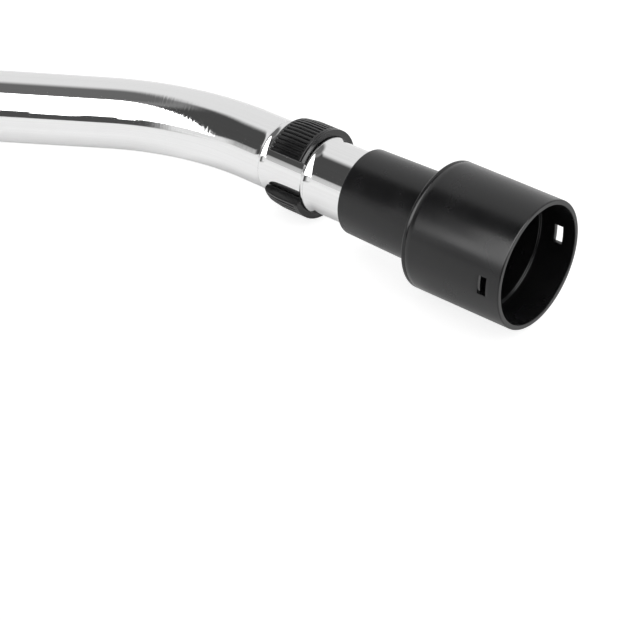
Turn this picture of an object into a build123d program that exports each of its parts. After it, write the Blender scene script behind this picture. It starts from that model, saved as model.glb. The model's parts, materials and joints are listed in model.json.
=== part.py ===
from build123d import *
import os
from math import asin, cos, radians, sin, sqrt

# Vacuum hose handle, in millimetres, lying on a table as it comes to rest.
# The origin is the centre of the tube's open wand end. +X runs along the straight grip limb,
# +Z is up, and the tube bends towards -Y into the hose limb, which carries the ring and the socket.

# Tube: thin steel, straight grip, one bend, straight hose limb
tube_od = 32.0
tube_wall = 1.0
grip_length = 170.0
bend_radius = 92.0
bend_angle = 45.0
bead_to_bend = 16.0
end_break = 0.3

# Swaged end, with a ring seat between two rolled beads
swage_od = 33.0
neck_length = 21.9
front_bead_od = 34.8
rear_bead_od = 32.8
seat_od = 31.2
swage_flare = 5.0
rear_shoulder = 3.5
rear_flare = 4.0
crest_width = 0.8
bleed_hole_d = 9.0

# Air-control ring: a C-ring with axial finger ribs
ring_od = 40.8
ring_width = 20.2
ring_gap_angle = 59.0
ring_radial_clearance = 0.3
ring_front_clearance = 0.6
ring_rear_clearance = 0.4
ring_back_round = 3.6
ring_back_flats = 2
ring_front_chamfer = 0.6
ring_end_chamfer = 0.6
rib_pitch_angle = 6.2
rib_margin_angle = 5.5
rib_groove_width = 0.9
rib_groove_depth = 0.8
rib_front_band = 2.4

# Hose socket: a slim sleeve on the tube and a wide cup for the hose's cuff
rim_od = 56.8
mouth_taper = 0.4
cup_wall = 2.4
cup_length = 48.8
cuff_depth = 17.0
cuff_ledge = 1.4
cup_floor = 3.2
tube_stop = 3.0
sleeve_length = 41.0
sleeve_root_od = 40.2
sleeve_tip_od = 38.6
bond_line = 0.1
lip_break = 0.3
sleeve_break = 0.8
rim_break = 0.8

# Catch windows: two, opposite each other, through the cup's wall, turned a little from the bend's plane
window_length = 4.0
window_width = 8.4
window_setback = 8.2
window_turn = -7.5

# Radii
tube_r = tube_od / 2
swage_r = swage_od / 2
seat_r = seat_od / 2
front_bead_r = front_bead_od / 2
rear_bead_r = rear_bead_od / 2
ring_r = ring_od / 2
ring_bore_r = seat_r + ring_radial_clearance
ring_thickness = ring_r - ring_bore_r
rim_r = rim_od / 2
mouth_r = (rim_od - mouth_taper) / 2
bore_r = rim_r - cup_wall
air_r = swage_r - tube_wall
bond_r = swage_r + bond_line

# Stations along the hose limb, counted back from the socket's mouth
floor_at = cup_length - cup_floor
tube_end_at = floor_at + tube_stop
sleeve_end_at = cup_length + sleeve_length
front_crest_at = sleeve_end_at + neck_length
seat_start_at = front_crest_at + front_bead_r - seat_r
ring_front_at = front_crest_at + ring_front_clearance
ring_back_at = ring_front_at + ring_width
seat_end_at = ring_back_at + ring_rear_clearance
rear_crest_at = seat_end_at + rear_shoulder
bend_at = rear_crest_at + bead_to_bend


def resting_roll(radius, station):
    """Sine of the bend plane's roll that lets a round of the hose limb touch the table.

    The grip lies on the table along its whole length, and the limb leans up from it, so the
    round touches where its centre is as high as the round's own tilted radius.
    """
    turn = radians(bend_angle)
    reach = bend_radius * (1 - cos(turn)) + (bend_at - station) * sin(turn)
    lean = radius * sin(turn)
    spread = reach**2 + lean**2
    return (sqrt((tube_r * reach) ** 2 + spread * (radius**2 - tube_r**2)) - tube_r * reach) / spread


# The handle rests on its grip and on whichever round of the hose limb needs the larger roll
roll = asin(max(resting_roll(rim_r, cup_length), resting_roll(ring_r, ring_back_at)))

# The bend plane: local X along the grip, local Y towards the inside of the bend
bend_plane = Plane(origin=(0, 0, 0), x_dir=(1, 0, 0), z_dir=(0, -sin(roll), -cos(roll)))
limb_x = cos(radians(bend_angle))
limb_y = sin(radians(bend_angle))
mouth = bend_plane.from_local_coords(
    (
        grip_length + bend_radius * limb_y + bend_at * limb_x,
        bend_radius * (1 - limb_x) + bend_at * limb_y,
        0,
    )
)

# The hose limb: local X back from the mouth, local Y towards the inside of the bend
back = bend_plane.x_dir * -limb_x + bend_plane.y_dir * -limb_y
inside = bend_plane.x_dir * -limb_y + bend_plane.y_dir * limb_x
limb_plane = Plane(origin=mouth, x_dir=back, z_dir=back.cross(inside))
limb_axis = Axis(mouth, back)


def across(station):
    """A plane square to the hose limb at a station, its X towards the inside of the bend."""
    return Plane(origin=mouth + back * station, x_dir=inside, z_dir=back)


def beside(station, turn=0):
    """A plane along the hose limb at a station, facing the inside of the bend, or turned from it."""
    return Plane(origin=mouth + back * station, x_dir=back, z_dir=inside.rotate(limb_axis, turn))


def tube_outline(inset):
    """Stations and radii of the tube's wall on the hose limb, from its end to the bend."""
    return [
        (tube_end_at, swage_r - inset),
        (front_crest_at - swage_flare, swage_r - inset),
        (front_crest_at - crest_width, front_bead_r - inset),
        (front_crest_at, front_bead_r - inset),
        (seat_start_at, seat_r - inset),
        (seat_end_at, seat_r - inset),
        (rear_crest_at, rear_bead_r - inset),
        (rear_crest_at + rear_flare, tube_r - inset),
        (bend_at, tube_r - inset),
    ]


def ring_back_outline():
    """Stations and radii of the ring's rounded back, worked as a few flats."""
    turns = [radians(90) * step / ring_back_flats for step in range(ring_back_flats + 1)]
    return [
        (ring_back_at - ring_back_round * (1 - sin(turn)), ring_r - ring_back_round * (1 - cos(turn)))
        for turn in turns
    ]


# Bent tube
with BuildPart() as bent_tube:
    with BuildLine(bend_plane) as route:
        Line((0, 0), (grip_length, 0))
        JernArc(start=(grip_length, 0), tangent=(1, 0), radius=bend_radius, arc_size=bend_angle)
    with BuildSketch(Plane.YZ) as wall:
        Circle(tube_r)
        Circle(tube_r - tube_wall, mode=Mode.SUBTRACT)
    sweep(path=route.wire())
    with BuildSketch(limb_plane) as beaded_end:
        with BuildLine():
            outer = Polyline(*tube_outline(0))
            inner = Polyline(*tube_outline(tube_wall))
            Line(outer @ 0, inner @ 0)
            Line(outer @ 1, inner @ 1)
        make_face()
    revolve(axis=limb_axis)
    with BuildSketch(beside((seat_start_at + seat_end_at) / 2)) as bleed_hole:
        Circle(bleed_hole_d / 2)
    extrude(amount=-tube_od, mode=Mode.SUBTRACT)
    chamfer(bent_tube.faces().sort_by(Axis.X)[0].edges(), length=end_break)
bent_tube.part.label = "bent_tube"

# Air-control ring
with BuildPart() as air_control_ring:
    with BuildSketch(limb_plane) as ring_section:
        with BuildLine():
            Polyline(
                (ring_front_at, ring_r - ring_front_chamfer),
                (ring_front_at + ring_front_chamfer, ring_r),
                *ring_back_outline(),
                (ring_back_at, ring_bore_r),
                (ring_front_at + front_bead_r - ring_bore_r, ring_bore_r),
                (ring_front_at, front_bead_r),
                close=True,
            )
        make_face()
    revolve(axis=limb_axis)
    with BuildSketch(across(ring_front_at)) as gap:
        with BuildLine():
            side = PolarLine((0, 0), ring_r - ring_end_chamfer, ring_gap_angle / 2)
            flare = PolarLine(side @ 1, ring_thickness, ring_gap_angle / 2 + 45)
            Line(flare @ 1, (ring_od, 0))
            mirror(about=Plane.XZ)
        make_face()
    extrude(amount=ring_width, mode=Mode.SUBTRACT)
    ribbed_angle = 360 - ring_gap_angle - 2 * rib_margin_angle
    groove_count = round(ribbed_angle / rib_pitch_angle) + 1
    with BuildSketch(across(ring_front_at + rib_front_band)) as grooves:
        with PolarLocations(
            ring_r,
            groove_count,
            start_angle=ring_gap_angle / 2 + rib_margin_angle,
            angular_range=ribbed_angle,
            endpoint=True,
        ):
            Rectangle(rib_groove_depth * 2, rib_groove_width)
    extrude(amount=ring_width, mode=Mode.SUBTRACT)
air_control_ring.part.label = "air_control_ring"

# Hose socket
with BuildPart() as hose_socket:
    with BuildSketch(limb_plane) as socket_section:
        with BuildLine():
            Polyline(
                (0, mouth_r),
                (cup_length, rim_r),
                (cup_length, sleeve_root_od / 2),
                (sleeve_end_at, sleeve_tip_od / 2),
                (sleeve_end_at, bond_r),
                (tube_end_at, bond_r),
                (tube_end_at, air_r),
                (floor_at, air_r),
                (floor_at, bore_r - cuff_ledge),
                (cuff_depth, bore_r - cuff_ledge),
                (cuff_depth, bore_r),
                (0, bore_r),
                close=True,
            )
        make_face()
    revolve(axis=limb_axis)
    rounds_along_limb = hose_socket.edges().filter_by(GeomType.CIRCLE).group_by(limb_axis)
    back_rim = hose_socket.edges().filter_by(GeomType.CIRCLE).sort_by(SortBy.RADIUS)[-1]
    chamfer(rounds_along_limb[0], length=lip_break)
    chamfer(rounds_along_limb[-1], length=sleeve_break)
    chamfer(back_rim, length=rim_break)
    with BuildSketch(beside(window_setback, window_turn)) as windows:
        Rectangle(window_length, window_width)
    extrude(amount=rim_od, both=True, mode=Mode.SUBTRACT)
hose_socket.part.label = "hose_socket"

os.makedirs("parts", exist_ok=True)
export_step(bent_tube.part, "parts/bent_tube.step")
export_step(air_control_ring.part, "parts/air_control_ring.step")
export_step(hose_socket.part, "parts/hose_socket.step")
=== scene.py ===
# %% [markdown]
# Vacuum hose handle
#
# A bent chrome tube with a ribbed turning ring and a black moulded socket for the hose.
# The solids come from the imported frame, at their real size. This lesson dresses them: each piece gets a
# smooth mesh with the small rounds that light catches, and a finish of its own.

# %% Load the frame
import json
from math import acos, asin, atan2, ceil, cos, degrees, pi, radians, sin, tan

import bmesh
import bpy
from mathutils import Matrix, Vector


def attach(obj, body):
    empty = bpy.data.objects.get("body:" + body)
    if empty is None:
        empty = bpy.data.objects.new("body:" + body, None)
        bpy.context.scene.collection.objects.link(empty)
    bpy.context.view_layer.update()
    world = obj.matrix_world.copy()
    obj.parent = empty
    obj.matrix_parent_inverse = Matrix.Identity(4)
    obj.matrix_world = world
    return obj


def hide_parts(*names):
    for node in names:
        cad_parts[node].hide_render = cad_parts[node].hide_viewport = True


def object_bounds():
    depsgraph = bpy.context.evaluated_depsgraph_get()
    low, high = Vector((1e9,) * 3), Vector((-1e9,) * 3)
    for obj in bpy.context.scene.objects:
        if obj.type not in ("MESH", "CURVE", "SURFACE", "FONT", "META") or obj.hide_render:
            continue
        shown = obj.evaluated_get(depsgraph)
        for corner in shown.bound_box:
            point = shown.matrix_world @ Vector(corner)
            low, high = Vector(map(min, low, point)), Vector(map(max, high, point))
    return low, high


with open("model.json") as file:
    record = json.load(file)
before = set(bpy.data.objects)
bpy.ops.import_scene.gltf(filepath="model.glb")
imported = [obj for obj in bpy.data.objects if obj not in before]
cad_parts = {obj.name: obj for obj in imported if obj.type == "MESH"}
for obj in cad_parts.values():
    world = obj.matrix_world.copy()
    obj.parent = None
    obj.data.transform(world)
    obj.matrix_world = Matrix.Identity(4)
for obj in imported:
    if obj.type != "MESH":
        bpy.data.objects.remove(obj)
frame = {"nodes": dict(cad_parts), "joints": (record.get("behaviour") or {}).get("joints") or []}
cad_low, cad_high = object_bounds()
MM = 0.001
print("nodes", sorted(frame["nodes"]), "box in mm", [round(side / MM, 1) for side in cad_high - cad_low])

# %% [markdown]
# Where the limbs lie
#
# The grip runs along X from the origin. The hose limb's line is the ring's own axis, so the frame's joint
# gives its direction, and with it the angle of the bend and the roll of the plane that the tube is bent in.
# Everything on the hose limb is then counted back from the socket's mouth.

# %% Limb directions
turning = frame["joints"][0]
towards_mouth = Vector(turning["axis"]).normalized()
ring_centre = Vector(turning["pos_m"])
bend_angle = acos(towards_mouth.x)
roll = atan2(towards_mouth.z, -towards_mouth.y)
grip_inside = Vector((0, -cos(roll), sin(roll)))
upright = Vector((0, sin(roll), cos(roll)))
back = -towards_mouth
limb_inside = upright.cross(back)

# Sizes that the pieces share, as stations back from the mouth and as radii
grip_length = 170.0 * MM
bend_radius = 92.0 * MM
arc_length = bend_radius * bend_angle
tube_r = 16.0 * MM
tube_wall = 1.0 * MM
swage_r = 16.5 * MM
cup_length = 48.8 * MM
cup_floor = 3.2 * MM
tube_stop = 3.0 * MM
sleeve_length = 41.0 * MM
neck_length = 21.9 * MM
floor_at = cup_length - cup_floor
tube_end_at = floor_at + tube_stop
sleeve_end_at = cup_length + sleeve_length
front_crest_at = sleeve_end_at + neck_length
ring_front_clearance = 0.6 * MM
ring_front_at = front_crest_at + ring_front_clearance
ring_width = 20.2 * MM
ring_back_at = ring_front_at + ring_width
mouth = ring_centre + towards_mouth * (ring_front_at + ring_width / 2)


def placed(x_way, y_way, origin):
    """The matrix that carries a form drawn along X, with Y as its inside, to its place."""
    turned_axes = Matrix((x_way, y_way, x_way.cross(y_way))).transposed().to_4x4()
    return Matrix.Translation(origin) @ turned_axes


limb_place = placed(back, limb_inside, mouth)
grip_place = placed(Vector((1, 0, 0)), grip_inside, Vector((0, 0, 0)))
print("bend", round(degrees(bend_angle), 2), "roll", round(degrees(roll), 2), "mouth", mouth)

# %% [markdown]
# Camera
#
# The view looks down on the handle from in front, a long way off through a long lens, with the camera
# rolled a little. Three angles and a place give the whole matrix, so nothing has to be aimed by hand.

# %% Camera
camera_data = bpy.data.cameras.new("camera")
camera_data.sensor_width = 36.0
camera_data.lens = 116.13
camera_turn = radians(8.82)
camera_dip = radians(34.06)
camera_roll = radians(7.86)
camera_place = Vector((0.14978, -0.79719, 0.44315))

ahead = Vector((sin(camera_turn) * cos(camera_dip), cos(camera_turn) * cos(camera_dip), -sin(camera_dip)))
level = Vector((cos(camera_turn), -sin(camera_turn), 0))
camera_right = level * cos(camera_roll) + level.cross(ahead) * sin(camera_roll)
camera_axes = Matrix((camera_right, camera_right.cross(ahead), -ahead)).transposed().to_4x4()
camera = bpy.data.objects.new("camera", camera_data)
camera.matrix_world = Matrix.Translation(camera_place) @ camera_axes
bpy.context.scene.collection.objects.link(camera)
bpy.context.scene.camera = camera
print("camera", camera_data.lens, "mm lens at", camera_place)

# %% [markdown]
# Sums on wires
#
# A finish is mostly arithmetic on noise. Written node by node it is hard to read, so one small class wraps
# an output socket: `+`, `-`, `*` and `/` add Math nodes, and `add` makes any other node from its type, its
# settings and its sockets. The same class serves the shaders and the geometry trees.


# %% The wire class
class Wire:
    """One output socket in a node tree, or just the tree where the socket is None."""

    def __init__(self, tree, socket=None):
        self.tree = tree
        self.socket = socket

    def add(self, kind, settings=None, sockets=None, out=0):
        """Any node: its settings first, then the values or wires of its sockets. Gives one output."""
        node = self.tree.nodes.new(kind)
        for name, value in (settings or {}).items():
            setattr(node, name, value)
        for key, value in (sockets or {}).items():
            if isinstance(value, Wire):
                self.tree.links.new(value.socket, node.inputs[key])
            else:
                node.inputs[key].default_value = value
        return Wire(self.tree, node.outputs[out] if node.outputs else None)

    def other(self, name):
        """Another output of the node that this wire comes from."""
        return Wire(self.tree, self.socket.node.outputs[name])

    def math(self, operation, *terms):
        return self.add("ShaderNodeMath", {"operation": operation}, dict(enumerate(terms)))

    def __add__(self, term):
        return self.math("ADD", self, term)

    def __sub__(self, term):
        return self.math("SUBTRACT", self, term)

    def __rsub__(self, term):
        return self.math("SUBTRACT", term, self)

    def __mul__(self, term):
        return self.math("MULTIPLY", self, term)

    def __truediv__(self, term):
        return self.math("DIVIDE", self, term)

    __radd__ = __add__
    __rmul__ = __mul__

    def rise(self, low, high):
        """0 below low, 1 above high, and a smooth step between them."""
        span = {"From Min": low, "From Max": high, "Value": self}
        return self.add("ShaderNodeMapRange", {"interpolation_type": "SMOOTHSTEP"}, span)

    def between(self, low, high, soft):
        """1 from low to high, with soft edges."""
        return self.rise(low - soft, low + soft) * (1 - self.rise(high - soft, high + soft))

    def towards(self, value, share):
        """This value moved towards another one by a share from 0 to 1."""
        return self + share * (value - self)


print("wires ready")

# %% [markdown]
# Turned forms
#
# Tube, ring and socket are all round about a line, as if turned on a lathe. Their outlines are drawn in a
# flat plane: x along the line, y out from it. `rounded` gives each corner its small arc, with one more point
# close to each end of the arc, so that smooth shading stays true on the flat beside it. `turned` then
# carries the outline round.


# %% Outlines and turning
most_arc_parts = 12
slight_turn = radians(0.5)
guard_length = 0.15 * MM
hard_edge = radians(38)
bore_longest = 4.0 * MM


def rounded(corners, step=radians(9)):
    """A closed outline from corners (x, y, rounding), each rounding an arc in parts of about a step."""
    points = []
    count = len(corners)
    for index, (x, y, rounding) in enumerate(corners):
        here = Vector((x, y))
        before = Vector(corners[index - 1][:2]) - here
        after = Vector(corners[(index + 1) % count][:2]) - here
        turn = pi - before.angle(after)
        if rounding == 0 or turn < slight_turn:
            points.append(here)
            continue
        before.normalize()
        after.normalize()
        reach = rounding * tan(turn / 2)
        guard = min(guard_length, reach / 2)
        centre = here + (before + after).normalized() * (rounding / cos(turn / 2))
        start = here + before * reach - centre
        end = here + after * reach - centre
        parts = min(most_arc_parts, max(2, ceil(turn / step)))
        points.append(here + before * (reach + guard))
        for part in range(parts + 1):
            share = part / parts
            spoke = start * sin((1 - share) * turn) + end * sin(share * turn)
            points.append(centre + spoke / sin(turn))
        points.append(here + after * (reach + guard))
    return points


def divided(points, longest, bore_r=0.0):
    """The closed outline with no run longer than a given length. Within the bore runs are longer."""
    result = []
    for index, point in enumerate(points):
        following = points[(index + 1) % len(points)]
        within = max(point.y, following.y) < bore_r
        parts = max(1, ceil((following - point).length / (bore_longest if within else longest)))
        result += [point.lerp(following, part / parts) for part in range(parts)]
    return result


def turned(name, outline, angles_at):
    """A lathe form about X. angles_at(radius) gives the angles of its columns, from Y towards Z."""
    mesh = bpy.data.meshes.new(name)
    form = bmesh.new()
    surface = form.loops.layers.uv.new("Surface")
    rings = []
    for point in outline:
        spokes = [(point.y * cos(a), point.y * sin(a)) for a in angles_at(point.y)]
        rings.append([form.verts.new((point.x, y, z)) for y, z in spokes])
    columns = len(rings[0])
    gone = 0.0
    for row, ring in enumerate(rings):
        following = rings[(row + 1) % len(rings)]
        start = gone
        gone += (outline[(row + 1) % len(outline)] - outline[row]).length
        for column in range(columns):
            right = (column + 1) % columns
            face = form.faces.new((ring[column], following[column], following[right], ring[right]))
            face.smooth = True
            across = (column / columns, (column + 1) / columns)
            corners = ((start, across[0]), (gone, across[0]), (gone, across[1]), (start, across[1]))
            for loop, (u, v) in zip(face.loops, corners):
                loop[surface].uv = (u, v)
    form.to_mesh(mesh)
    form.free()
    return mesh


def even_columns(count):
    """Angles of a lathe form's columns, all alike."""
    return lambda radius: [2 * pi * column / count for column in range(count)]


def outward(mesh):
    """Points a closed mesh's faces outwards and keeps its hard edges crisp."""
    form = bmesh.new()
    form.from_mesh(mesh)
    bmesh.ops.recalc_face_normals(form, faces=form.faces)
    form.to_mesh(mesh)
    form.free()
    mesh.set_sharp_from_angle(angle=hard_edge)
    return mesh


def shown(name, mesh):
    """A mesh as an object in the scene."""
    piece = bpy.data.objects.new(name, mesh)
    bpy.context.scene.collection.objects.link(piece)
    return piece


print("lathe ready")

# %% [markdown]
# Geometry trees
#
# Two shapes here follow a rule: the tube follows its bend, and the ring's ribs repeat round it. Both rules
# are written as a geometry tree with named sizes. The modifier's inputs are set by the sockets'
# identifiers before the object is first evaluated, and the result is kept as a plain mesh.


# %% Geometry tree helpers
def moving_tree(name, sizes, moved_to):
    """A tree that moves every point to moved_to(position, sizes) and gives the result its material."""
    tree = bpy.data.node_groups.new(name, "GeometryNodeTree")
    tree.interface.new_socket("Geometry", in_out="INPUT", socket_type="NodeSocketGeometry")
    tree.interface.new_socket("Geometry", in_out="OUTPUT", socket_type="NodeSocketGeometry")
    for size in sizes:
        tree.interface.new_socket(size, in_out="INPUT", socket_type="NodeSocketFloat")
    tree.interface.new_socket("Material", in_out="INPUT", socket_type="NodeSocketMaterial")
    given = Wire(tree).add("NodeGroupInput", out="Geometry")
    position = given.add("ShaderNodeSeparateXYZ", {}, {0: given.add("GeometryNodeInputPosition")})
    place = moved_to(position, {size: given.other(size) for size in sizes})
    moved = given.add("GeometryNodeSetPosition", {}, {"Geometry": given, "Position": place})
    real = given.add("GeometryNodeRealizeInstances", {}, {"Geometry": moved})
    dressing = {"Geometry": real, "Material": given.other("Material")}
    dressed = given.add("GeometryNodeSetMaterial", {}, dressing)
    given.add("NodeGroupOutput", {}, {"Geometry": dressed})
    return tree


def kept_mesh(piece, tree, values):
    """Runs a tree on a piece with its named inputs set, and keeps what it made as the piece's own mesh."""
    modifier = piece.modifiers.new(tree.name, "NODES")
    modifier.node_group = tree
    for item in tree.interface.items_tree:
        if item.name in values:
            modifier[item.identifier] = values[item.name]
    evaluated = piece.evaluated_get(bpy.context.evaluated_depsgraph_get())
    mesh = bpy.data.meshes.new_from_object(evaluated)
    piece.modifiers.clear()
    piece.data = mesh
    return mesh


print("tree helpers ready")

# %% [markdown]
# Finishes: shared start
#
# Each finish is one Principled shader. Its colour, roughness and bump change over the surface. Patterns
# that belong to the moulding read Object coordinates, and polishing lines that follow the bend read the
# tube's own UV map.


# %% Finish helpers
def coated(name, surface):
    """A material whose shader is surface(tree)."""
    material = bpy.data.materials.new(name)
    material.use_nodes = True
    material.node_tree.nodes.clear()
    tree = Wire(material.node_tree)
    tree.add("ShaderNodeOutputMaterial", {}, {"Surface": surface(tree)})
    return material


def finish(name, recipe):
    """A material whose Principled sockets come from recipe(tree)."""
    return coated(name, lambda tree: tree.add("ShaderNodeBsdfPrincipled", {}, recipe(tree)))


def noise(tree, place, scale, detail=3.0, roughness=0.5):
    """Noise from 0 to 1 at a place, with a scale in waves for each metre."""
    sockets = {"Vector": place, "Scale": scale, "Detail": detail, "Roughness": roughness}
    return tree.add("ShaderNodeTexNoise", {}, sockets)


def shade_of(tree, low, high, share):
    """A colour between two, by a share from 0 to 1."""
    sockets = {"Factor": share, 6: (*low, 1), 7: (*high, 1)}
    return tree.add("ShaderNodeMix", {"data_type": "RGBA"}, sockets, out=2)


print("finish helpers ready")

# %% [markdown]
# Chrome
#
# Bright plating over drawn steel tube. It is a near mirror, so its look is mostly what it reflects. The
# tube under the plating was buffed along its length and round its bend, which leaves very fine ripples
# that make the edge of a reflection ragged, and handling leaves a faint haze.


# %% Chrome finish
plating_low = (0.85, 0.85, 0.85)
plating_high = (0.88, 0.88, 0.88)
haze_waves = 38.0
streak_waves = (5.0, 140.0, 1.0)
buffing_waves = (900.0, 8.0, 1.0)
buffing_depth = 0.05 * MM
straight_share = 0.04
worked_from = grip_length + 0.2 * arc_length
worked_to = grip_length + 1.1 * arc_length
worked_soft = 20.0 * MM
clean_roughness = 0.04
haze_roughness = 0.04
worked_roughness = 0.03


def chrome_recipe(tree):
    """Plating with streaks along the tube, faint haze, and buffing marks that are strongest on the bend."""
    surface = tree.add("ShaderNodeUVMap", {"uv_map": "Surface"})
    along = tree.add("ShaderNodeSeparateXYZ", {}, {0: surface})
    here = tree.add("ShaderNodeTexCoord", out="Object")
    haze = noise(tree, here, haze_waves, 4.0)
    drawn = tree.add("ShaderNodeMapping", {}, {"Vector": surface, "Scale": streak_waves})
    streak = noise(tree, drawn, 1.0, 3.0)
    buffing = tree.add("ShaderNodeMapping", {}, {"Vector": surface, "Scale": buffing_waves})
    worked = along.between(worked_from, worked_to, worked_soft)
    ripple = noise(tree, buffing, 1.0, 2.0) * (straight_share + (1 - straight_share) * worked)
    bump = tree.add("ShaderNodeBump", {}, {"Strength": 1.0, "Distance": buffing_depth, "Height": ripple})
    return {
        "Base Color": shade_of(tree, plating_low, plating_high, streak.rise(0.3, 0.7)),
        "Metallic": 1.0,
        "Roughness": clean_roughness + haze_roughness * haze.rise(0.45, 0.75) + worked_roughness * worked,
        "Normal": bump,
    }


chrome = finish("bright_chrome", chrome_recipe)
print("made", chrome.name)

# %% [markdown]
# Black mouldings
#
# Socket and ring are black plastic from a mould with a fine satin texture. Black plastic shows almost no
# colour of its own: what shows is a broad soft sheen, broken up by the texture's tiny hills, with rubbed
# places a little smoother.


# %% Black plastic finishes
satin_roughness = 0.26
cloud_waves = 55.0
cloud_share = 0.14
rubbed_waves = 24.0
rubbed_share = 0.06
grain_strength = 0.35
grain_depth = 0.012 * MM


def moulding_recipe(dark, light, grain_size):
    """A satin black moulding: two near-black shades, and grain of a given size in metres."""

    def recipe(tree):
        here = tree.add("ShaderNodeTexCoord", out="Object")
        cloud = noise(tree, here, cloud_waves, 4.0)
        grain = noise(tree, here, 1 / grain_size, 2.0, 0.6)
        rubbed = noise(tree, here, rubbed_waves, 5.0, 0.6).rise(0.45, 0.75)
        hills = {"Strength": grain_strength, "Distance": grain_depth, "Height": grain}
        return {
            "Base Color": shade_of(tree, dark, light, cloud),
            "Roughness": satin_roughness + cloud_share * (cloud - 0.5) - rubbed_share * rubbed,
            "Normal": tree.add("ShaderNodeBump", {}, hills),
        }

    return recipe


socket_black = finish(
    "socket_satin_black",
    moulding_recipe((0.005, 0.005, 0.0055), (0.008, 0.008, 0.0085), 0.35 * MM),
)
ring_black = finish(
    "ring_satin_black",
    moulding_recipe((0.006, 0.006, 0.0065), (0.010, 0.010, 0.0105), 0.30 * MM),
)
print("made", socket_black.name, ring_black.name)

# %% [markdown]
# The bent tube
#
# On the real handle this is one length of thin tube: its end is swaged a little wider, two beads are rolled
# into it, an air hole is pierced between them, and it is bent last. The mesh is made in the same order. The
# wall's outline is turned as a straight tube, the hole is cut, and a geometry tree bends the whole tube.

# %% Tube sizes
front_bead_r = 17.4 * MM
rear_bead_r = 16.4 * MM
seat_r = 15.6 * MM
ring_rear_clearance = 0.4 * MM
rear_shoulder = 3.5 * MM
bead_to_bend = 16.0 * MM
seat_end_at = ring_back_at + ring_rear_clearance
rear_crest_at = seat_end_at + rear_shoulder
bend_at = rear_crest_at + bead_to_bend
rear_flare = 4.0 * MM
crest_width = 0.8 * MM
swage_flare = 5.0 * MM
bleed_hole_r = 4.5 * MM
bleed_hole_sides = 64

# Roundings, and how fine the mesh is
rear_flare_round = 16.0 * MM
rear_crest_round = 0.9 * MM
rear_shoulder_round = 5.5 * MM
seat_corner_round = 0.8 * MM
front_crest_round = 0.8 * MM
front_flare_crest_round = 1.2 * MM
front_flare_round = 9.0 * MM
tube_lip_round = 0.25 * MM
tube_arc_step = radians(1.5)
tube_run = 1.8 * MM
tube_columns = 144


def path_at(station):
    """Length along the bent path, from the wand end, of a station on the hose limb."""
    return grip_length + arc_length + bend_at - station


def tube_wall_outline():
    """The straight tube's wall, out along its outside and back along its inside."""
    seat_start_at = front_crest_at + front_bead_r - seat_r
    front_flare_foot = front_crest_at - (swage_flare + crest_width) / 2
    rear_shoulder_foot = (seat_end_at + rear_crest_at) / 2
    rear_flare_foot = rear_crest_at + rear_flare / 2
    steps = [
        (path_at(rear_flare_foot), tube_r, rear_flare_round),
        (path_at(rear_crest_at), rear_bead_r, rear_crest_round),
        (path_at(rear_shoulder_foot), seat_r, rear_shoulder_round),
        (path_at(seat_start_at), seat_r, seat_corner_round),
        (path_at(front_crest_at), front_bead_r, front_crest_round),
        (path_at(front_crest_at - crest_width), front_bead_r, front_flare_crest_round),
        (path_at(front_flare_foot), swage_r, front_flare_round),
    ]
    end = path_at(tube_end_at)
    outside = [(0, tube_r, tube_lip_round), *steps, (end, swage_r, tube_lip_round)]
    inside = [(x, radius - tube_wall, rounding) for x, radius, rounding in reversed(outside)]
    outline = rounded(outside + inside, tube_arc_step)
    return divided(outline, tube_run, tube_r - 0.8 * tube_wall)


tube = shown("chrome_tube", turned("chrome_tube", tube_wall_outline(), even_columns(tube_columns)))
print("tube wall turned:", len(tube.data.polygons), "faces")

# %% Air hole
hole_at = path_at((ring_front_at + ring_back_at) / 2)
hole_form = bmesh.new()
hole_place = Matrix.Translation((hole_at, -tube_r, 0)) @ Matrix.Rotation(pi / 2, 4, "X")
bmesh.ops.create_cone(
    hole_form,
    cap_ends=True,
    segments=bleed_hole_sides,
    radius1=bleed_hole_r,
    radius2=bleed_hole_r,
    depth=tube_r,
    matrix=hole_place,
)
hole_mesh = bpy.data.meshes.new("hole_cutter")
hole_form.to_mesh(hole_mesh)
hole_form.free()
hole_cutter = shown("hole_cutter", hole_mesh)
outward(tube.data)
pierced = tube.modifiers.new("air_hole", "BOOLEAN")
pierced.object = hole_cutter
pierced.operation = "DIFFERENCE"
pierced.solver = "EXACT"
tube.data = bpy.data.meshes.new_from_object(tube.evaluated_get(bpy.context.evaluated_depsgraph_get()))
tube.modifiers.clear()
bpy.data.objects.remove(hole_cutter)
print("air hole pierced:", len(tube.data.polygons), "faces")


# %% Bending
def bent(position, sizes):
    """Along the grip nothing moves. Past it a point swings about the bend's centre, then runs straight."""
    along = position
    inward = position.other("Y")
    arc = sizes["Bend radius"] * sizes["Bend angle"]
    past = along - sizes["Grip length"]
    swing = past.math("MINIMUM", past.math("MAXIMUM", past, 0.0), arc) / sizes["Bend radius"]
    tail = past.math("MAXIMUM", past - arc, 0.0)
    spoke = sizes["Bend radius"] - inward
    sine = swing.math("SINE", swing)
    cosine = swing.math("COSINE", swing)
    x = along.math("MINIMUM", along, sizes["Grip length"]) + spoke * sine + tail * cosine
    y = sizes["Bend radius"] - spoke * cosine + tail * sine
    return along.add("ShaderNodeCombineXYZ", {}, {"X": x, "Y": y, "Z": position.other("Z")})


bend_sizes = {"Grip length": grip_length, "Bend radius": bend_radius, "Bend angle": bend_angle}
bend_tree = moving_tree("Bend the tube", bend_sizes, bent)
kept_mesh(tube, bend_tree, {**bend_sizes, "Material": chrome})
tube.data.transform(grip_place)
outward(tube.data)
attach(tube, "handle")
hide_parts("bent_tube")
print("tube bent:", len(tube.data.polygons), "faces")

# %% [markdown]
# The air-control ring
#
# A C-shaped moulding that snaps on to the tube between the beads. Fingers turn it by its ribs: shallow
# grooves run from a smooth front band to the rounded back, where they fade out. The plain C is turned
# first, with rounded ends at its gap, and a geometry tree then sinks the grooves into it.

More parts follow.
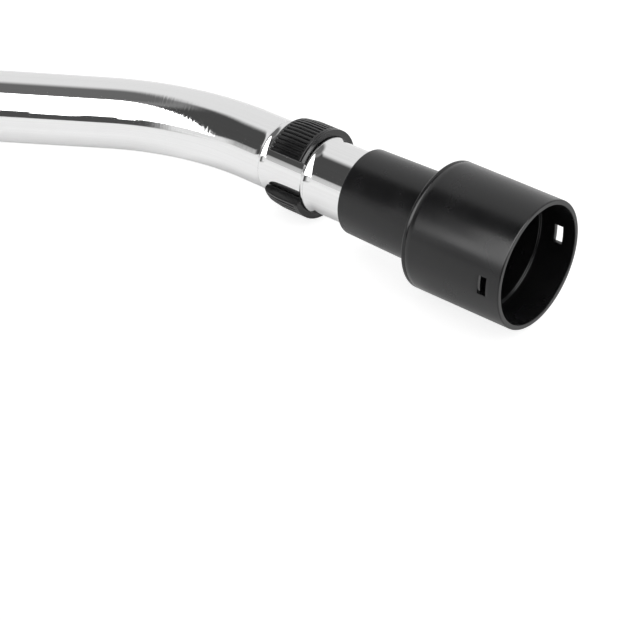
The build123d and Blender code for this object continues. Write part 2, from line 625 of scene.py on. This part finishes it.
# %% Ring sizes
ring_r = 20.4 * MM
ring_radial_clearance = 0.3 * MM
ring_bore_r = seat_r + ring_radial_clearance
ring_gap = radians(59)
ring_back_round = 2.8 * MM
ring_back_draft = 1.0 * MM
ring_draft_length = 8.0 * MM
ring_end_round = 0.35 * MM
groove_count = 48
groove_margin = radians(5.5)
groove_step = (2 * pi - ring_gap - 2 * groove_margin) / (groove_count - 1)
groove_depth = 0.8 * MM
groove_half = 0.45 * MM
front_band = 2.4 * MM
back_band = 2.0 * MM
front_line_at = ring_front_at + 1.1 * MM
front_line_half = 0.2 * MM
front_line_depth = 0.2 * MM

# Roundings, soft edges of the grooves, and how fine the mesh is
ring_edge_round = 0.3 * MM
ring_front_round = 0.15 * MM
ring_draft_round = 25.0 * MM
groove_wall = (-0.2 * MM, 0.12 * MM)
groove_front_slope = (-0.2 * MM, 0.25 * MM)
groove_back_slope = (-0.5 * MM, 0.3 * MM)
skin_slope = (-0.2 * MM, 0.2 * MM)
skin_depth = 2.4 * MM
ring_run = 0.35 * MM
ring_end_steps = 5
lead_steps = 4
lead_room = 1.3
columns_per_groove = 14


def ring_outline():
    """The ring's section, as stations back from the mouth and radii."""
    corners = [
        (ring_front_at, front_bead_r, ring_edge_round),
        (ring_front_at, ring_r, ring_front_round),
        (front_line_at - front_line_half, ring_r, 0),
        (front_line_at, ring_r - front_line_depth, 0),
        (front_line_at + front_line_half, ring_r, 0),
        (ring_back_at - ring_draft_length, ring_r, ring_draft_round),
        (ring_back_at, ring_r - ring_back_draft, ring_back_round),
        (ring_back_at, ring_bore_r, ring_edge_round),
        (ring_front_at + front_bead_r - ring_bore_r, ring_bore_r, ring_edge_round),
    ]
    return divided(rounded(corners), ring_run, ring_bore_r + 0.5 * MM)


def ring_ends():
    """Angle past the gap's side, and how far the section draws in, for each column of a rounded end."""
    mid_r = (ring_r + ring_bore_r) / 2
    for step in range(ring_end_steps):
        swing = pi / 2 * step / ring_end_steps
        yield ring_end_round * (1 - cos(swing)) / mid_r, ring_end_round * (1 - sin(swing))


def drawn_in(outline, inset):
    """A closed outline moved inwards by a small amount."""
    result = []
    for index, point in enumerate(outline):
        way = outline[(index + 1) % len(outline)] - outline[index - 1]
        inward = Vector((way.y, -way.x)).normalized()
        result.append(point + inward * inset)
    return result


def c_ring(name, outline, columns):
    """The C: the outline carried round from one side of the gap to the other, with closed rounded ends."""
    first = list(ring_ends())
    start = ring_gap / 2
    middle_start = start + first[-1][0] * lead_room
    ribs_start = start + groove_margin - groove_step / 2
    room = ribs_start - middle_start
    lead = [middle_start + room * step / lead_steps for step in range(lead_steps)]
    ribs = [ribs_start + 2 * (pi - ribs_start) * column / columns for column in range(columns + 1)]
    trail = [2 * pi - angle for angle in reversed(lead)]
    middle = [(angle, 0.0) for angle in lead + ribs + trail]
    left = [(start + past, inset) for past, inset in first]
    right = [(2 * pi - start - past, inset) for past, inset in reversed(first)]
    form = bmesh.new()
    rings = []
    for angle, inset in left + middle + right:
        section = drawn_in(outline, inset) if inset else outline
        spots = [(p.x, p.y * cos(angle), p.y * sin(angle)) for p in section]
        rings.append([form.verts.new(spot) for spot in spots])
    for ring, following in zip(rings, rings[1:]):
        for row in range(len(outline)):
            below = (row + 1) % len(outline)
            face = form.faces.new((ring[row], ring[below], following[below], following[row]))
            face.smooth = True
    for cap in (rings[0], rings[-1]):
        form.faces.new(cap)
    mesh = bpy.data.meshes.new(name)
    form.to_mesh(mesh)
    form.free()
    return outward(mesh)


ring = shown("ribbed_ring", c_ring("ribbed_ring", ring_outline(), groove_count * columns_per_groove))
print("ring turned:", len(ring.data.polygons), "faces")


# %% Finger grooves
def grooved(position, sizes):
    """Sinks points of the ring's outer skin, at even steps from each side of the gap."""

    def past(place, edge, slope):
        """0 before an edge and 1 past it, with a slope that reaches from slope[0] to slope[1]."""
        return place.rise(edge + slope[0], edge + slope[1])

    y = position.other("Y")
    z = position.other("Z")
    radius = position.math("SQRT", y * y + z * z)
    from_gap = position.math("ABSOLUTE", position.math("ARCTAN2", z, y))
    turns = (from_gap - sizes["First groove"]) / sizes["Groove step"]
    nearest = position.math("MAXIMUM", position.math("ROUND", turns), 0.0)
    off_centre = position.math("ABSOLUTE", turns - nearest)
    beside = off_centre * sizes["Groove step"] * radius
    sunk = 1 - past(beside, sizes["Half width"], groove_wall)
    begun = past(position, sizes["Front"], groove_front_slope)
    ended = past(position, sizes["Back"], groove_back_slope)
    skin = past(radius, sizes["Skin radius"], skin_slope)
    scale = 1 - sunk * begun * (1 - ended) * skin * sizes["Depth"] / radius
    sockets = {"X": position, "Y": y * scale, "Z": z * scale}
    return position.add("ShaderNodeCombineXYZ", {}, sockets)


groove_sizes = {
    "First groove": ring_gap / 2 + groove_margin,
    "Groove step": groove_step,
    "Half width": groove_half,
    "Front": ring_front_at + front_band,
    "Back": ring_back_at - back_band,
    "Skin radius": ring_r - skin_depth,
    "Depth": groove_depth,
}
groove_tree = moving_tree("Sink the finger grooves", groove_sizes, grooved)
kept_mesh(ring, groove_tree, {**groove_sizes, "Material": ring_black})
ring.data.transform(limb_place)
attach(ring, "ring")
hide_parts("air_control_ring")
print("grooves sunk:", len(ring.data.polygons), "faces")

# %% [markdown]
# The hose socket
#
# One moulding: a slim sleeve over the tube, and a wide cup with a ledge inside for the hose's cuff. Two
# windows through the cup's wall take the cuff's catches. The section is turned, with columns set closer
# across the windows, and the windows are opened between those columns, so the round wall stays smooth.

# %% Socket sizes
mouth_r = 28.2 * MM
rim_r = 28.4 * MM
bore_r = 26.0 * MM
cuff_depth = 17.0 * MM
cuff_ledge = 1.4 * MM
sleeve_root_r = 20.1 * MM
sleeve_tip_r = 19.3 * MM
bond_line = 0.1 * MM
bond_r = swage_r + bond_line
air_r = swage_r - tube_wall
window_length = 4.0 * MM
window_width = 8.4 * MM
window_at = 8.2 * MM
window_turn = radians(-7.5)
window_front = window_at - window_length / 2
window_back = window_at + window_length / 2
window_edge_round = 0.2 * MM

# The fine line round the cup, roundings, and how fine the mesh is
line_at = cup_length - 2.2 * MM
line_half = 0.18 * MM
line_depth = 0.12 * MM
lip_round = 0.55 * MM
rim_round = 0.9 * MM
sleeve_root_round = 0.6 * MM
sleeve_tip_round = 0.7 * MM
air_edge_round = 0.4 * MM
floor_round = 1.5 * MM
inner_edge_round = 0.3 * MM
socket_run = 2.1 * MM
across_window = 14
between_windows = 76


def cup_r(station):
    """The cup's outside, which widens a little towards its back rim."""
    return mouth_r + (rim_r - mouth_r) * station / cup_length


def socket_outline():
    """The socket's section: out along its outside, round the sleeve's end, and back along its bore."""
    corners = [
        (0, mouth_r, lip_round),
        (window_front, cup_r(window_front), 0),
        (window_back, cup_r(window_back), 0),
        (line_at - line_half, cup_r(line_at), 0),
        (line_at, cup_r(line_at) - line_depth, 0),
        (line_at + line_half, cup_r(line_at), 0),
        (cup_length, rim_r, rim_round),
        (cup_length, sleeve_root_r, sleeve_root_round),
        (sleeve_end_at, sleeve_tip_r, sleeve_tip_round),
        (sleeve_end_at, bond_r, inner_edge_round),
        (tube_end_at, bond_r, 0),
        (tube_end_at, air_r, inner_edge_round),
        (floor_at, air_r, air_edge_round),
        (floor_at, bore_r - cuff_ledge, floor_round),
        (cuff_depth, bore_r - cuff_ledge, inner_edge_round),
        (cuff_depth, bore_r, inner_edge_round),
        (window_back, bore_r, 0),
        (window_front, bore_r, 0),
        (0, bore_r, inner_edge_round),
    ]
    return divided(rounded(corners), socket_run)


def window_columns(radius):
    """Angles of the socket's columns. The windows' sides are flat, so their angle depends on the radius."""
    half = asin(window_width / 2 / radius)
    arcs = ((-half, 2 * half, across_window), (half, pi - 2 * half, between_windows))
    angles = [start + span * step / steps for start, span, steps in arcs for step in range(steps)]
    return angles + [angle + pi for angle in angles]


def opened_windows(mesh):
    """Takes the wall out of both windows, closes their sides and softens their edges."""
    form = bmesh.new()
    form.from_mesh(mesh)
    slack = 0.01 * MM
    wall = []
    for face in form.faces:
        centre = face.calc_center_median()
        beside = abs(centre.z) < window_width / 2 - slack
        along = window_front + slack < centre.x < window_back - slack
        if beside and along:
            wall.append(face)
    bmesh.ops.delete(form, geom=wall, context="FACES")
    sides = [edge for edge in form.edges if len(edge.link_faces) == 1]
    for inside in (True, False):
        loops = [edge for edge in sides if (edge.verts[0].co.y > 0) == inside]
        bmesh.ops.bridge_loops(form, edges=loops)
    bmesh.ops.bevel(form, geom=sides, offset=window_edge_round, segments=2, affect="EDGES", profile=0.5)
    form.to_mesh(mesh)
    form.free()
    return outward(mesh)


socket = shown("hose_cup", opened_windows(turned("hose_cup", socket_outline(), window_columns)))
socket.data.materials.append(socket_black)
socket.data.transform(limb_place @ Matrix.Rotation(window_turn, 4, "X"))
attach(socket, "handle")
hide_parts("hose_socket")
print("socket made:", len(socket.data.polygons), "faces")

# %% [markdown]
# Floor
#
# The handle lies on a pale table. The floor is matt and almost white, and it takes the handle's soft
# shadow. A lift of its own light, for the camera and for reflections alone, brings it up to white. In
# reflections the lift grows a little with distance, where the lights reach less. It is less by the table's
# front edge, and close under the tube and the cup, where little light gets in: there the floor's reflected
# light carries painted shade.

# %% Floor
floor_r = 12.0
floor_drop = 0.05 * MM
floor_grey = (0.62, 0.62, 0.62, 1)
camera_lift = 0.82
mirror_lift = 0.55
far_lift = 0.25
far_span = (0.4, 2.5)
front_edge = (0.03, -0.25, cad_low.z)
front_dim = 0.40
front_span = (0.02, 0.14)
limb_from_x = 0.203
tube_dim = 0.30
tube_span = (0.004, 0.029)
tube_dim_end = (0.27, 0.30)
cup_dim = 0.24
cup_span = (0.022, 0.049)
cup_reach = (0.41, 0.48)
cup_soft = 0.01


def pale_floor(tree):
    """Matt floor, with a lift that differs for the camera and for reflections."""
    seen = tree.add("ShaderNodeLightPath", out="Is Camera Ray")
    mirrored = seen.math("MAXIMUM", seen.other("Is Glossy Ray"), seen.other("Is Transmission Ray"))
    spot = tree.add("ShaderNodeTexCoord", out="Object")
    away = tree.add("ShaderNodeVectorMath", {"operation": "LENGTH"}, {0: spot}, out="Value")
    ends = {0: spot, 1: front_edge}
    to_front = tree.add("ShaderNodeVectorMath", {"operation": "DISTANCE"}, ends, out="Value")
    x = tree.add("ShaderNodeSeparateXYZ", {}, {0: spot})
    y = x.other("Y")

    # How far a spot lies beside the handle's line, which runs along Y = 0 and then turns by 45 degrees
    beside = y + x.math("MAXIMUM", x - limb_from_x, 0.0)
    beside = beside.math("ABSOLUTE", beside)
    by_tube = (1 - beside.rise(*tube_span)) * (1 - x.rise(*tube_dim_end))
    by_cup = (1 - beside.rise(*cup_span)) * (x - y).between(*cup_reach, cup_soft)
    # Painted shade, in reflections alone: less lift by the front edge and close under the tube and the cup
    dimmed = front_dim * (1 - to_front.rise(*front_span)) + tube_dim * by_tube + cup_dim * by_cup

    lift = seen * camera_lift + mirrored * (mirror_lift + far_lift * away.rise(*far_span) - dimmed)
    matt = tree.add("ShaderNodeBsdfDiffuse", {}, {"Color": floor_grey})
    glowing = tree.add("ShaderNodeEmission", {}, {"Strength": lift})
    return tree.add("ShaderNodeAddShader", {}, {0: matt, 1: glowing})


floor_form = bmesh.new()
floor_place = Matrix.Translation((cad_high.x / 2, 0, cad_low.z - floor_drop))
bmesh.ops.create_circle(floor_form, cap_ends=True, segments=96, radius=floor_r, matrix=floor_place)
floor_mesh = bpy.data.meshes.new("floor")
floor_form.to_mesh(floor_mesh)
floor_form.free()
floor_mesh.materials.append(coated("pale_floor", pale_floor))
shown("floor", floor_mesh)
print("floor at", round(cad_low.z / MM, 2), "mm")

# %% [markdown]
# Light panel
#
# One big soft panel stands in front, close enough that the cup sees its left edge from another angle than
# the bend does. A low card under it, dark but for its left end, makes the thin dark line along the grip,
# and two small bright cards put the glint on the cup, strongest near its mouth. All stand in the way of the
# camera, so the camera does not see them. The panel is bright in reflections and gentler as a lamp, so that
# shadows stay soft, and the cards show in reflections alone.


# %% Panel and cards
def card(name, corners, strength):
    """A glowing flat card that the camera does not see.

    Its light is strength(shine, x), with shine 1 in reflections and 0 elsewhere, and x the place on it.
    """

    def glow(tree):
        shine = tree.add("ShaderNodeLightPath", out="Is Glossy Ray")
        x = tree.add("ShaderNodeSeparateXYZ", {}, {0: tree.add("ShaderNodeTexCoord", out="Object")})
        return tree.add("ShaderNodeEmission", {}, {"Strength": strength(shine, x)})

    mesh = bpy.data.meshes.new(name)
    mesh.from_pydata(corners, [], [range(len(corners))])
    mesh.materials.append(coated(name, glow))
    mesh.materials[0].cycles.emission_sampling = "NONE"
    stand = shown(name, mesh)
    stand.visible_camera = False
    return stand


def standing(y, outline):
    """Corners of a card that stands square to Y, from its outline in X and Z."""
    return [(x, y, z) for x, z in outline]


panel = standing(-0.31, [(-0.40, 0.10), (0.75, 0.085), (0.75, 0.92), (0.10, 0.92), (-0.02, 0.83)])
low_strip = standing(-0.305, [(-0.08, -0.016), (0.75, -0.016), (0.75, 0.085), (-0.08, 0.088)])
long_card = standing(-0.235, [(-0.23, 0.14), (-0.03, 0.085), (-0.03, 0.27), (-0.23, 0.20)])
mouth_card = [
    (0.155, -0.233, 0.052),
    (0.131, -0.205, 0.048),
    (0.176, -0.147, 0.157),
    (0.200, -0.173, 0.166),
]
card("light_panel", panel, lambda shine, x: 1.0 + 3.0 * shine)
strip = card("dark_strip", low_strip, lambda shine, x: 0.85 - 0.77 * x.rise(-0.05, 0.08))
glint = card("long_glint", long_card, lambda shine, x: shine * (1.1 + 3.0 * x.rise(-0.20, -0.05)))
mouth_glint = card("mouth_glint", mouth_card, lambda shine, x: 4.4 * shine)

for stand in (strip, glint, mouth_glint):
    stand.visible_diffuse = False
    stand.visible_shadow = False
print("panel and cards stand in front")

# %% [markdown]
# Studio surround
#
# Chrome shows the room, so the room is drawn as the world: a pale wall behind, a dark ceiling, and a dark
# flag that reaches from the left to the front, on a dark post at the left. Each is a soft-edged patch of
# directions, by azimuth, with 0 towards the viewer and plus to the right, and by elevation, both in degrees.

# %% World
world = bpy.data.worlds.new("studio")
bpy.context.scene.world = world
world.use_nodes = True
world.node_tree.nodes.clear()
studio = Wire(world.node_tree)
way = studio.add("ShaderNodeSeparateXYZ", {}, {0: studio.add("ShaderNodeTexCoord", out="Generated")})
elevation = way.math("ARCSINE", way.other("Z")) * degrees(1)
azimuth = way.math("ARCTAN2", way, 0 - way.other("Y")) * degrees(1)

wall_light = 0.84
ceiling_light = 0.15
ceiling_edge = (60, 77)
flag_light = 0.07
flag_sides = (-128, 80)
flag_soft = 11
flag_foot = (9, 14)
flag_top = (60, 80)
flag_slope_from = -97
post_sides = (-106, -82)
post_soft = 9
post_top = (14, 20)

glow = wall_light + (ceiling_light - wall_light) * elevation.rise(*ceiling_edge)
above_foot = elevation + azimuth.math("MINIMUM", azimuth - flag_slope_from, 0.0)
flag = azimuth.between(*flag_sides, flag_soft) * above_foot.rise(*flag_foot)
post = azimuth.between(*post_sides, post_soft) * (1 - elevation.rise(*post_top))
dark = flag.math("MAXIMUM", flag, post) * (1 - elevation.rise(*flag_top))
glow = glow.towards(flag_light, dark)

seen = studio.add("ShaderNodeLightPath", out="Is Camera Ray")
white = {"Color": (1, 1, 1, 1), "Strength": glow.towards(1.0, seen)}
surround = studio.add("ShaderNodeBackground", {}, white)
studio.add("ShaderNodeOutputWorld", {}, {"Surface": surround})
bpy.context.scene.view_settings.view_transform = "Standard"
print("world lit")
